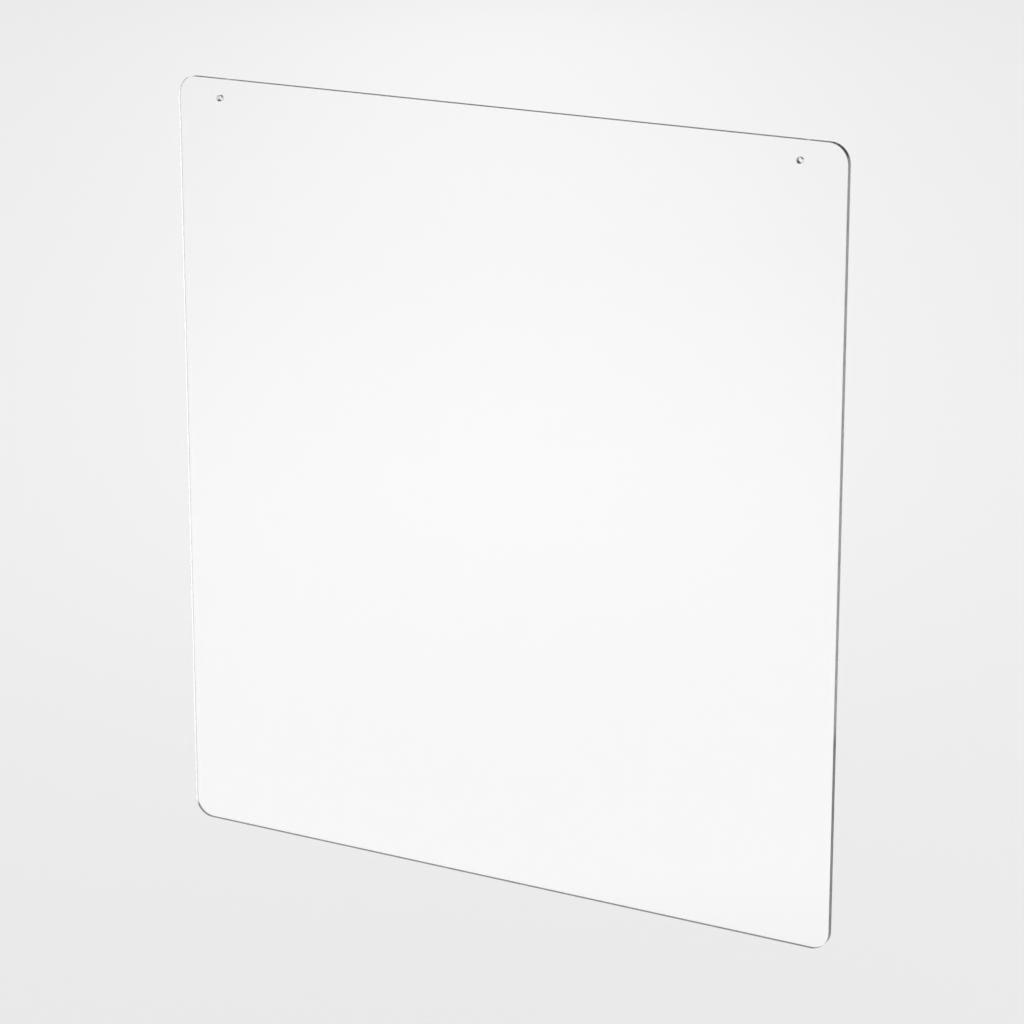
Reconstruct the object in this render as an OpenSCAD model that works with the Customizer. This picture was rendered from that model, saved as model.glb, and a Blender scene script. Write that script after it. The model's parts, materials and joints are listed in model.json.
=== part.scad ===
// Hanging sneeze guard: one clear acrylic sheet with rounded corners, polished
// edges and two drilled holes near its top edge, by which it hangs.
//
// The sheet stands in the XZ plane with its front face towards -Y and +Z up.
// The origin is midway between the two holes, at the middle of the thickness.

/* [Sheet] */
// Width, side to side, in millimetres
sheet_w = 750; // [400:10:1200]
// Height, top to bottom
sheet_h = 800; // [400:10:1200]
// Thickness of the acrylic
sheet_t = 6; // [3:0.5:10]
// Radius of the four rounded corners
corner_r = 20; // [5:1:40]
// Width of the polished arris round the front and back of the outline
edge_arris = 0.4; // [0.2:0.1:1]

/* [Hanging holes] */
// Diameter of each hole
hole_d = 6; // [4:0.5:12]
// From each side edge to the hole's centre
hole_from_side = 50; // [20:1:100]
// From the top edge to the hole's centre
hole_from_top = 20; // [15:1:60]
// Width of the deburred rim at both ends of each hole
hole_arris = 0.3; // [0.1:0.1:0.8]

/* [Hidden] */

$fn = 96;

half_t = sheet_t / 2;
// The sheet is drawn lying flat about its own centre, then stood up and moved
// so that the line through the holes crosses the origin.
hole_x = sheet_w / 2 - hole_from_side;
hole_y = sheet_h / 2 - hole_from_top;
// The cutting tools run this far past both faces
cut_over = 1;

// Half of the section across an edge: flat faces, a straight edge and an
// arris on each side. It starts at x = 0 and is `reach` wide.
module edge_section(reach) {
    polygon([
        [0, -half_t],
        [reach - edge_arris, -half_t],
        [reach, edge_arris - half_t],
        [reach, half_t - edge_arris],
        [reach - edge_arris, half_t],
        [0, half_t]
    ]);
}

// A straight run of edge along Y, `reach` wide and `run` long
module straight_edge(reach, run) {
    rotate([90, 0, 0])
        linear_extrude(height = run, center = true)
            edge_section(reach);
}

// One rounded corner, a quarter turn of the same section
module rounded_corner() {
    rotate_extrude(angle = 90)
        edge_section(corner_r);
}

// One quarter of the sheet: the strip under the top edge, the strip beside
// the side edge and the corner between them
module sheet_quarter() {
    inner_x = sheet_w / 2 - corner_r;
    inner_y = sheet_h / 2 - corner_r;
    translate([inner_x / 2, 0, 0])
        rotate([0, 0, 90])
            straight_edge(sheet_h / 2, inner_x);
    translate([inner_x, inner_y / 2, 0])
        straight_edge(corner_r, inner_y);
    translate([inner_x, inner_y, 0])
        rounded_corner();
}

// The blank sheet, before drilling
module blank() {
    for (side = [0, 1], end = [0, 1])
        mirror([side, 0, 0])
            mirror([0, end, 0])
                sheet_quarter();
}

// The drill for one hole, with the rim's bevel at both faces
module hole_cutter() {
    cylinder(d = hole_d, h = sheet_t + 2 * cut_over, center = true);
    for (face = [0, 1])
        mirror([0, 0, face])
            translate([0, 0, half_t - hole_arris])
                cylinder(
                    d1 = hole_d,
                    d2 = hole_d + 2 * (hole_arris + cut_over),
                    h = hole_arris + cut_over
                );
}

module acrylic_sheet() {
    color([0.93, 0.95, 0.95, 0.35])
        rotate([90, 0, 0])
            translate([0, -hole_y, 0])
                difference() {
                    blank();
                    for (side = [-1, 1])
                        translate([side * hole_x, hole_y, 0])
                            hole_cutter();
                }
}

acrylic_sheet();
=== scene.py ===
import json
import math

import bmesh
import bpy
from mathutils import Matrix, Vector
from mathutils.geometry import delaunay_2d_cdt


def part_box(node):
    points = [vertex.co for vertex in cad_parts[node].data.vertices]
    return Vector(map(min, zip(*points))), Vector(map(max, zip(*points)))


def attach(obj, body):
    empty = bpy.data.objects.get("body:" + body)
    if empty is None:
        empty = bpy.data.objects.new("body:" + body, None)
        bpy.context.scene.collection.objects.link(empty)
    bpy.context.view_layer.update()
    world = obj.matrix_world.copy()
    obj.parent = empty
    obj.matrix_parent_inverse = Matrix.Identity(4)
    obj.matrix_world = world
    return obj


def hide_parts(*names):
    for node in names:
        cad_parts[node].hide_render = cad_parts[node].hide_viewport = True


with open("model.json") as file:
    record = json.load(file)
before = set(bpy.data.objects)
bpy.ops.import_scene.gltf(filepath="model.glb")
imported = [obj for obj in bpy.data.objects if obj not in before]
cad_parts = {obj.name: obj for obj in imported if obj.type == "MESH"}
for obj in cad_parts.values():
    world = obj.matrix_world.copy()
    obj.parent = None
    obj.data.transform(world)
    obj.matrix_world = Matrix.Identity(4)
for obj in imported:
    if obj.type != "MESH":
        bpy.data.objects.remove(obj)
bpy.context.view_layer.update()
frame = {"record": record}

MM = 0.001
NODE = "acrylic_sheet"

# The sheet's corners, and the polished arrises round its outline and its holes
CORNER_RADIUS = 20 * MM
EDGE_ARRIS = 0.4 * MM
HOLE_ARRIS = 0.3 * MM
CORNER_STEPS = 24
HOLE_STEPS = 96
ARRIS_STEPS = 5

# The mesh of the faces: its cells, how clear of a hole they stay, the nearest
# that two points may be, and how skew a quad made of two triangles may be
FACE_CELL = 25 * MM
HOLE_CLEAR = 9 * MM
POINT_GAP = 0.001 * MM
QUAD_SKEW = math.pi / 4

# The kind of triangulation that keeps to the inside of the outlines
INSIDE_OUTLINES = 1

# Clear acrylic: its refraction, and how much light a metre of it takes
ACRYLIC_IOR = 1.49
ABSORBED_PER_METRE = 1.2
ABSORPTION_COLOR = (0.0, 0.015, 0.015, 1)

# Marks on the two faces. A wiping mark's size is its length and its width, and
# a range tells where in the noise a mark starts and where it is at its full.
SMUDGE_SIZE = 220 * MM
SMUDGE_DETAIL = 4.0
SMUDGE_RANGE = (0.48, 0.72)
SMUDGE_ROUGHNESS = 0.03
WIPE_SIZE = (140 * MM, 0.9 * MM)
WIPE_DETAIL = 2.0
WIPE_RANGE = (0.58, 0.72)
WIPE_TURNS = (math.radians(14), math.radians(-23))
WIPE_ROUGHNESS = 0.07
WAVE_SIZE = 160 * MM
WAVE_DETAIL = 1.0
WAVE_HEIGHT = 0.06 * MM

# The polished edges, with ripples across and along them, and the drilled holes,
# whose walls are within DRILLED_REACH radii of their axes
RIPPLE_SIZE = (1.6 * MM, 9 * MM)
RIPPLE_DETAIL = 2.0
RIPPLE_HEIGHT = 0.008 * MM
EDGE_ROUGHNESS = 0.04
RIPPLE_ROUGHNESS = 0.05
DRILLED_ROUGHNESS = 0.3
DRILLED_REACH = 1.5

# The arrises get painted shade: their colour is darker, so the outline shows as a thin
# dark line. How squarely a surface faces along Y tells a wall, an arris and a face apart.
ARRIS_PAINTED_SHADE = 0.25
WALL_FACING = (0.1, 0.35)
FACE_FACING = (0.8, 0.98)

# The camera, as seen from the middle of the sheet, and how far to the right and
# up from there it aims
CAMERA_AZIMUTH = math.radians(30.26)
CAMERA_ELEVATION = math.radians(16.35)
CAMERA_DISTANCE = 3.736
CAMERA_LENS = 131.8
AIM_RIGHT = 0.0134
AIM_UP = -0.0074

# Light that enters one edge reaches the other after some hundred bounces
MAX_BOUNCES = 256

# The studio. The sky has the horizon's tone up to SKY_START and its own from
# SKY_FULL, both as heights on a sphere of radius 1.
FLOOR_BELOW = 1.2
FLOOR_SIZE = 240.0
FLOOR_COLOR = (0.8, 0.8, 0.8, 1)
HORIZON_TONE = 0.815
SKY_TONE = 0.22
SKY_START = 0.0
SKY_FULL = 0.27
SUN_ENERGY = 2.45
SUN_ANGLE = math.radians(120)

# Strip lights that brighten the floor beyond the sheet: the direction, how far
# beyond, the strip's length, its height above the floor and its power
GLOW_STRIPS = (
    ("left", CAMERA_AZIMUTH, 9.4, 10.0, 1.97, 18.2),
    ("right", math.radians(-34), 7.3, 9.0, 1.2, 24.0),
)
GLOW_WIDTH = 0.1

# Patches of light on the floor, a pair for views of each face: the azimuth of
# such a view and the pair's strength
PATCH_VIEWS = (
    ("front", CAMERA_AZIMUTH, 1.0),
    ("back", math.radians(232), 0.6),
)

# The face reflects one of a pair, on the viewer's side of the sheet (-1). The
# other is its mirror image on the far side (1), seen through the sheet, and is
# there because a reflection alone leaves noise in the picture. The last number
# is a patch's share of the tones. A face reflects only about a twentieth of what
# it lets through, so the share of the second one is small.
PATCH_PAIR = (
    ("reflected", -1, 0.4),
    ("through", 1, 0.027),
)

# The patches' width, the share of it that is even, and their tone at each
# distance from the sheet
PATCH_WIDTH = 3.6
PATCH_EVEN = 0.36
PATCH_TONES = (
    (1.5, 0.0),
    (3.0, 2.7),
    (4.6, 1.9),
    (6.6, 1.1),
    (8.3, 0.55),
    (11.2, 0.25),
    (13.0, 0.0),
)
PATCH_LIFT = 1 * MM

# Soft boxes on both sides of the sheet: how far away and aside they stand, their
# lean and width, the share of it that is even, and their tone at each height
SOFTBOX_AWAY = 6.0
SOFTBOX_ASIDE = 0.45
SOFTBOX_LEAN = math.radians(12)
SOFTBOX_WIDTH = 1.3
SOFTBOX_EVEN = 0.3
SOFTBOX_TONES = ((0.0, 0.0), (0.6, 3.2), (4.0, 3.2), (5.0, 0.0))


# ------------------------------------------------------------- the sheet


def arc(centre_x, centre_z, radius, start, sweep, steps):
    """Points on an arc in the XZ plane, each with its direction from the centre."""
    points = []
    for i in range(steps + 1):
        angle = start + sweep * i / steps
        out = Vector((math.cos(angle), 0, math.sin(angle)))
        points.append((Vector((centre_x, 0, centre_z)) + out * radius, out))
    return points


def divide_straights(outline):
    """The same outline, with points along its straight stretches too."""
    divided = []
    for (point, out), (after, _) in zip(outline, outline[1:] + outline[:1]):
        steps = max(1, round((after - point).length / FACE_CELL))
        divided += [(point.lerp(after, i / steps), out) for i in range(steps)]
    return divided


def sheet_outline(low, high):
    """The sheet's outline, corner by corner, with its outward directions."""
    corners = (
        (high.x, high.z, 1, 1),
        (low.x, high.z, -1, 1),
        (low.x, low.z, -1, -1),
        (high.x, low.z, 1, -1),
    )
    outline = []
    for corner, (x, z, side_x, side_z) in enumerate(corners):
        centre_x = x - side_x * CORNER_RADIUS
        centre_z = z - side_z * CORNER_RADIUS
        start = corner * math.pi / 2
        outline += arc(centre_x, centre_z, CORNER_RADIUS, start, math.pi / 2, CORNER_STEPS)
    return divide_straights(outline)


def hole_outline(mount):
    """A hole's wall. The way out of the material is towards the hole's axis."""
    x, _, z = mount["pos_m"]
    circle = arc(x, z, mount["dims"]["r_mm"] * MM, 0, math.tau, HOLE_STEPS)[:-1]
    return [(point, -out) for point, out in circle]


def edge_section(low, high, arris):
    """Across the edge, from the front face to the back face: how far in, where
    along Y, and the normal's outward and Y parts."""
    front = []
    for i in range(ARRIS_STEPS + 1):
        turn = math.pi / 2 * i / ARRIS_STEPS
        inset = arris * (1 - math.sin(turn))
        depth = arris * (1 - math.cos(turn))
        front.append((inset, low.y + depth, math.sin(turn), -math.cos(turn)))
    back = [(inset, low.y + high.y - y, out, -along) for inset, y, out, along in front]
    return front + back[::-1]


def add_edge(bm, normals, outline, section):
    """The wall round an outline. Returns its loops on the front and back faces."""
    rings = []
    for inset, y, out_part, y_part in section:
        ring = []
        for point, out in outline:
            place = point - out * inset
            vertex = bm.verts.new((place.x, y, place.z))
            normals[vertex] = (out * out_part + Vector((0, y_part, 0))).normalized()
            ring.append(vertex)
        rings.append(ring)
    for near, far in zip(rings, rings[1:]):
        for i in range(len(near)):
            j = (i + 1) % len(near)
            bm.faces.new((near[i], near[j], far[j], far[i]))
    return rings[0], rings[-1]


def hang_holes():
    """The mounts of the drilled holes."""
    return [mount for mount in frame["record"]["mounts"] if mount["kind"] == "bore"]


def face_grid(low, high):
    """Points in rows and columns over a face, except close to a hole."""
    places = []
    width = high.x - low.x - 2 * CORNER_RADIUS
    height = high.z - low.z - 2 * CORNER_RADIUS
    columns = round(width / FACE_CELL)
    rows = round(height / FACE_CELL)
    centres = [Vector(mount["pos_m"]).xz for mount in hang_holes()]
    for i in range(columns + 1):
        for j in range(rows + 1):
            x = low.x + CORNER_RADIUS + width * i / columns
            z = low.z + CORNER_RADIUS + height * j / rows
            place = Vector((x, z))
            if all((place - centre).length > HOLE_CLEAR for centre in centres):
                places.append(place)
    return places


def fill_face(bm, normals, loops, grid):
    """A flat face of even cells, inside the first loop and outside the others."""
    vertices = []
    edges = []
    for loop in loops:
        first = len(vertices)
        vertices += loop
        edges += [(first + i, first + (i + 1) % len(loop)) for i in range(len(loop))]
    loop_of = {vertex: loop for loop in loops for vertex in loop}
    y = vertices[0].co.y
    for place in grid:
        vertex = bm.verts.new((place.x, y, place.y))
        normals[vertex] = normals[vertices[0]]
        vertices.append(vertex)
    places = [vertex.co.xz for vertex in vertices]
    result = delaunay_2d_cdt(places, edges, [], INSIDE_OUTLINES, POINT_GAP)
    _, _, triangles, sources, _, _ = result
    faces = []
    for triangle in triangles:
        corners = [vertices[sources[corner][0]] for corner in triangle]
        around = [loop_of.get(corner) for corner in corners]
        in_hole = around[0] in loops[1:] and around[0] is around[1] is around[2]
        if not in_hole:
            faces.append(bm.faces.new(corners))
    bmesh.ops.join_triangles(
        bm,
        faces=faces,
        angle_face_threshold=math.pi,
        angle_shape_threshold=QUAD_SKEW,
    )


def make_sheet():
    """A wall round the outline and round each hole, and the two faces."""
    low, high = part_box(NODE)
    bm = bmesh.new()
    normals = {}
    edge = edge_section(low, high, EDGE_ARRIS)
    rim = edge_section(low, high, HOLE_ARRIS)
    walls = [add_edge(bm, normals, sheet_outline(low, high), edge)]
    for mount in hang_holes():
        walls.append(add_edge(bm, normals, hole_outline(mount), rim))
    for side in (0, 1):
        fill_face(bm, normals, [wall[side] for wall in walls], face_grid(low, high))
    bmesh.ops.recalc_face_normals(bm, faces=bm.faces)
    bm.verts.index_update()
    order = sorted(normals, key=lambda vertex: vertex.index)
    vertex_normals = [normals[vertex] for vertex in order]
    mesh = bpy.data.meshes.new("clear_sheet")
    bm.to_mesh(mesh)
    bm.free()
    mesh.shade_smooth()
    mesh.normals_split_custom_set_from_vertices(vertex_normals)
    sheet = bpy.data.objects.new("clear_sheet", mesh)
    bpy.context.scene.collection.objects.link(sheet)
    return sheet


# ------------------------------------------------------------- materials


def new_material(name):
    material = bpy.data.materials.new(name)
    material.use_nodes = True
    return material, material.node_tree, material.node_tree.nodes["Principled BSDF"]


def add_node(tree, kind, inputs, **settings):
    """A new node. An input is given a value or another node's output."""
    made = tree.nodes.new(kind)
    for name, value in settings.items():
        setattr(made, name, value)
    for name, value in inputs.items():
        if isinstance(value, bpy.types.NodeSocket):
            tree.links.new(value, made.inputs[name])
        else:
            made.inputs[name].default_value = value
    return made.outputs


def calculate(tree, operation, first, second=0.0):
    return add_node(tree, "ShaderNodeMath", {0: first, 1: second}, operation=operation)[0]


def map_range(tree, value, low, high, new_low, new_high):
    """Smoothly from one range to another, and level outside it."""
    inputs = {
        "Value": value,
        "From Min": low,
        "From Max": high,
        "To Min": new_low,
        "To Max": new_high,
    }
    ranged = add_node(tree, "ShaderNodeMapRange", inputs, interpolation_type="SMOOTHSTEP")
    return ranged["Result"]


def mix(tree, amount, first, second):
    """The first number where the amount is 0, and the second where it is 1."""
    return add_node(tree, "ShaderNodeMix", {0: amount, 2: first, 3: second})[0]


def noise(tree, place, turn, size, detail):
    """Noise whose grains have this size along X, Y and Z, turned about Y."""
    inputs = {"Vector": place, "Rotation": (0, turn, 0), "Scale": size}
    grain = add_node(tree, "ShaderNodeMapping", inputs, vector_type="TEXTURE")["Vector"]
    inputs = {"Vector": grain, "Scale": 1.0, "Detail": detail}
    return add_node(tree, "ShaderNodeTexNoise", inputs)["Fac"]


def edge_masks(tree, normal):
    """1 on the edges and in the holes, and 1 on their arrises alone."""
    y = add_node(tree, "ShaderNodeSeparateXYZ", {0: normal})["Y"]
    facing = calculate(tree, "ABSOLUTE", y)
    edge = map_range(tree, facing, *FACE_FACING, 1.0, 0.0)
    off_wall = map_range(tree, facing, *WALL_FACING, 0.0, 1.0)
    return edge, calculate(tree, "MULTIPLY", edge, off_wall)


def drilled_mask(tree, place):
    """1 close to the axis of a hole, which runs along Y."""
    mask = None
    for mount in hang_holes():
        centre = mount["pos_m"]
        flat = add_node(
            tree,
            "ShaderNodeVectorMath",
            {0: place, 1: (1, 0, 1)},
            operation="MULTIPLY",
        )[0]
        away = add_node(
            tree,
            "ShaderNodeVectorMath",
            {0: flat, 1: centre},
            operation="DISTANCE",
        )["Value"]
        reach = mount["dims"]["r_mm"] * MM * DRILLED_REACH
        inside = calculate(tree, "LESS_THAN", away, reach)
        mask = inside if mask is None else calculate(tree, "MAXIMUM", mask, inside)
    return mask


def face_roughness(tree, place):
    """Polished faces with faint smudges and hairline wiping marks."""
    smudges = noise(tree, place, 0.0, (SMUDGE_SIZE,) * 3, SMUDGE_DETAIL)
    total = map_range(tree, smudges, *SMUDGE_RANGE, 0.0, SMUDGE_ROUGHNESS)
    for turn in WIPE_TURNS:
        length, width = WIPE_SIZE
        streaks = noise(tree, place, turn, (length, length, width), WIPE_DETAIL)
        marks = map_range(tree, streaks, *WIPE_RANGE, 0.0, WIPE_ROUGHNESS)
        total = calculate(tree, "ADD", total, marks)
    return total


def clear_acrylic():
    """Clear cast acrylic with polished faces, polished edges and drilled holes."""
    material, tree, shader = new_material("clear_acrylic")
    shader.inputs["Transmission Weight"].default_value = 1.0
    shader.inputs["IOR"].default_value = ACRYLIC_IOR
    coordinates = add_node(tree, "ShaderNodeTexCoord", {})
    place = coordinates["Object"]
    on_edge, arris_shade_mask = edge_masks(tree, coordinates["Normal"])

    # Painted shade: the arrises' colour is darkened so that they draw a thin dark outline
    tone = mix(tree, arris_shade_mask, 1.0, ARRIS_PAINTED_SHADE)
    tree.links.new(tone, shader.inputs["Base Color"])

    step, across = RIPPLE_SIZE
    ripples = noise(tree, place, 0.0, (step, across, step), RIPPLE_DETAIL)
    edge = calculate(tree, "MULTIPLY", ripples, RIPPLE_ROUGHNESS)
    edge = calculate(tree, "ADD", edge, EDGE_ROUGHNESS)
    drilled = calculate(tree, "MULTIPLY", drilled_mask(tree, place), DRILLED_ROUGHNESS)
    edge = calculate(tree, "MAXIMUM", edge, drilled)
    rough = mix(tree, on_edge, face_roughness(tree, place), edge)
    tree.links.new(rough, shader.inputs["Roughness"])

    waves = noise(tree, place, 0.0, (WAVE_SIZE,) * 3, WAVE_DETAIL)
    inputs = {"Height": waves, "Distance": WAVE_HEIGHT, "Strength": 1.0}
    wavy = add_node(tree, "ShaderNodeBump", inputs)["Normal"]
    inputs = {
        "Height": ripples,
        "Distance": RIPPLE_HEIGHT,
        "Strength": on_edge,
        "Normal": wavy,
    }
    rippled = add_node(tree, "ShaderNodeBump", inputs)["Normal"]
    tree.links.new(rippled, shader.inputs["Normal"])

    volume = add_node(tree, "ShaderNodeVolumeAbsorption", {})[0]
    volume.node.inputs["Color"].default_value = ABSORPTION_COLOR
    volume.node.inputs["Density"].default_value = ABSORBED_PER_METRE
    tree.links.new(volume, tree.nodes["Material Output"].inputs["Volume"])
    return material


def pale_floor():
    material, _, shader = new_material("pale_floor")
    shader.inputs["Base Color"].default_value = FLOOR_COLOR
    shader.inputs["Roughness"].default_value = 1.0
    shader.inputs["Specular IOR Level"].default_value = 0.0
    return material


def fading_light(name, tones, even):
    """Light with a tone for each place along a card, and soft sides. The card's
    own coordinates run from 0 to 1 each way."""
    middle = 0.5
    material, tree, shader = new_material(name)
    tree.nodes.remove(shader)
    place = add_node(tree, "ShaderNodeTexCoord", {})["Generated"]
    split = add_node(tree, "ShaderNodeSeparateXYZ", {0: place})
    brightest = max(tone for _, tone in tones)
    start = tones[0][0]
    length = tones[-1][0] - start
    ramp = add_node(tree, "ShaderNodeValToRGB", {0: split["Y"]})[0]
    stops = ramp.node.color_ramp.elements
    while len(stops) < len(tones):
        stops.new(middle)
    for stop, (along, tone) in zip(stops, tones):
        stop.position = (along - start) / length
        stop.color = (tone / brightest, tone / brightest, tone / brightest, 1)
    aside = calculate(tree, "SUBTRACT", split["X"], middle)
    aside = calculate(tree, "ABSOLUTE", aside)
    strength = map_range(tree, aside, even / 2, middle, brightest, 0.0)
    glow = add_node(tree, "ShaderNodeEmission", {"Color": ramp, "Strength": strength})[0]
    clear = add_node(tree, "ShaderNodeBsdfTransparent", {})[0]
    both = add_node(tree, "ShaderNodeAddShader", {0: glow, 1: clear})[0]
    tree.links.new(both, tree.nodes["Material Output"].inputs["Surface"])
    return material


# ---------------------------------------------------------------- studio


def floor_level():
    low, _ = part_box(NODE)
    return low.z - FLOOR_BELOW


def make_floor():
    bpy.ops.mesh.primitive_plane_add(size=FLOOR_SIZE, location=(0, 0, floor_level()))
    floor = bpy.context.object
    floor.name = "floor"
    floor.data.materials.append(pale_floor())


def make_world():
    """Pale at the horizon, like the floor, and darker overhead, so that the
    sheet's edges stand out."""
    world = bpy.data.worlds.new("studio")
    bpy.context.scene.world = world
    world.use_nodes = True
    tree = world.node_tree
    place = add_node(tree, "ShaderNodeTexCoord", {})["Generated"]
    height = add_node(tree, "ShaderNodeSeparateXYZ", {0: place})["Z"]
    tone = map_range(tree, height, SKY_START, SKY_FULL, HORIZON_TONE, SKY_TONE)
    tree.links.new(tone, tree.nodes["Background"].inputs["Color"])


def add_light(name, kind, energy):
    """A light that the camera and the sheet don't see directly."""
    data = bpy.data.lights.new(name, kind)
    data.energy = energy
    light = bpy.data.objects.new(name, data)
    bpy.context.scene.collection.objects.link(light)
    light.visible_glossy = False
    light.visible_transmission = False
    light.visible_camera = False
    return light


def make_lights():
    """A broad overhead light, and two strips over the floor beyond the sheet."""
    overhead = add_light("overhead", "SUN", SUN_ENERGY)
    overhead.data.angle = SUN_ANGLE
    for name, turn, beyond, length, height, power in GLOW_STRIPS:
        glow = add_light("glow_" + name, "AREA", power)
        glow.data.shape = "RECTANGLE"
        glow.data.size = GLOW_WIDTH
        glow.data.size_y = length
        glow.location.x = -beyond * math.sin(turn)
        glow.location.y = beyond * math.cos(turn)
        glow.location.z = floor_level() + height
        glow.rotation_euler.z = turn


def add_card(name, width, tones, even):
    """A card of light that only reflections show. Its tones give its length."""
    bpy.ops.mesh.primitive_plane_add(size=1.0)
    card = bpy.context.object
    card.name = name
    card.data.materials.append(fading_light(name, tones, even))
    card.scale = (width, tones[-1][0] - tones[0][0], 1)
    card.visible_camera = False
    card.visible_diffuse = False
    card.visible_transmission = False
    card.visible_volume_scatter = False
    card.visible_shadow = False
    return card


def add_patch(name, azimuth, strength, kind, side):
    """One patch of a pair: what the face reflects, or what is seen through it."""
    middle = (PATCH_TONES[0][0] + PATCH_TONES[-1][0]) / 2
    tones = [(away, tone * strength) for away, tone in PATCH_TONES]
    patch = add_card(f"patch_{name}_{kind}", PATCH_WIDTH, tones, PATCH_EVEN)
    patch.visible_glossy = kind == "reflected"
    patch.visible_transmission = kind == "through"
    patch.location.x = -middle * math.sin(azimuth)
    patch.location.y = side * middle * math.cos(azimuth)
    patch.location.z = floor_level() + PATCH_LIFT
    patch.rotation_euler.z = math.atan2(math.sin(azimuth), side * math.cos(azimuth))


def make_patches():
    """Soft patches of light on the floor, which make the sheet's faces paler."""
    for name, azimuth, strength in PATCH_VIEWS:
        for kind, side, share in PATCH_PAIR:
            add_patch(name, azimuth, strength * share, kind, side)


def make_softboxes():
    """Upright soft boxes before and behind, so that low views show the faces."""
    middle = (SOFTBOX_TONES[0][0] + SOFTBOX_TONES[-1][0]) / 2
    for name, side in (("softbox_front", 1), ("softbox_back", -1)):
        box = add_card(name, SOFTBOX_WIDTH, SOFTBOX_TONES, SOFTBOX_EVEN)
        box.location.x = side * SOFTBOX_ASIDE
        box.location.y = -side * SOFTBOX_AWAY
        box.location.z = floor_level() + middle
        box.rotation_euler = (math.pi / 2, side * SOFTBOX_LEAN, 0)


def make_camera():
    low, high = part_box(NODE)
    back = Vector(
        (
            math.sin(CAMERA_AZIMUTH) * math.cos(CAMERA_ELEVATION),
            -math.cos(CAMERA_AZIMUTH) * math.cos(CAMERA_ELEVATION),
            math.sin(CAMERA_ELEVATION),
        )
    )
    turn = (-back).to_track_quat("-Z", "Y")
    aim = (low + high) / 2 + turn @ Vector((AIM_RIGHT, AIM_UP, 0))
    data = bpy.data.cameras.new("camera")
    data.lens = CAMERA_LENS
    data.clip_end = 2 * FLOOR_SIZE
    camera = bpy.data.objects.new("camera", data)
    camera.rotation_mode = "QUATERNION"
    camera.rotation_quaternion = turn
    camera.location = aim + back * CAMERA_DISTANCE
    bpy.context.scene.collection.objects.link(camera)
    bpy.context.scene.camera = camera


def make_studio():
    """All that isn't the sheet."""
    make_camera()
    make_world()
    make_floor()
    make_lights()
    make_patches()
    make_softboxes()
    scene = bpy.context.scene
    scene.view_settings.view_transform = "Standard"
    scene.cycles.max_bounces = MAX_BOUNCES
    scene.cycles.glossy_bounces = MAX_BOUNCES
    scene.cycles.transmission_bounces = MAX_BOUNCES


make_studio()

sheet = make_sheet()
sheet.data.materials.append(clear_acrylic())
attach(sheet, "root")
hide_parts(NODE)
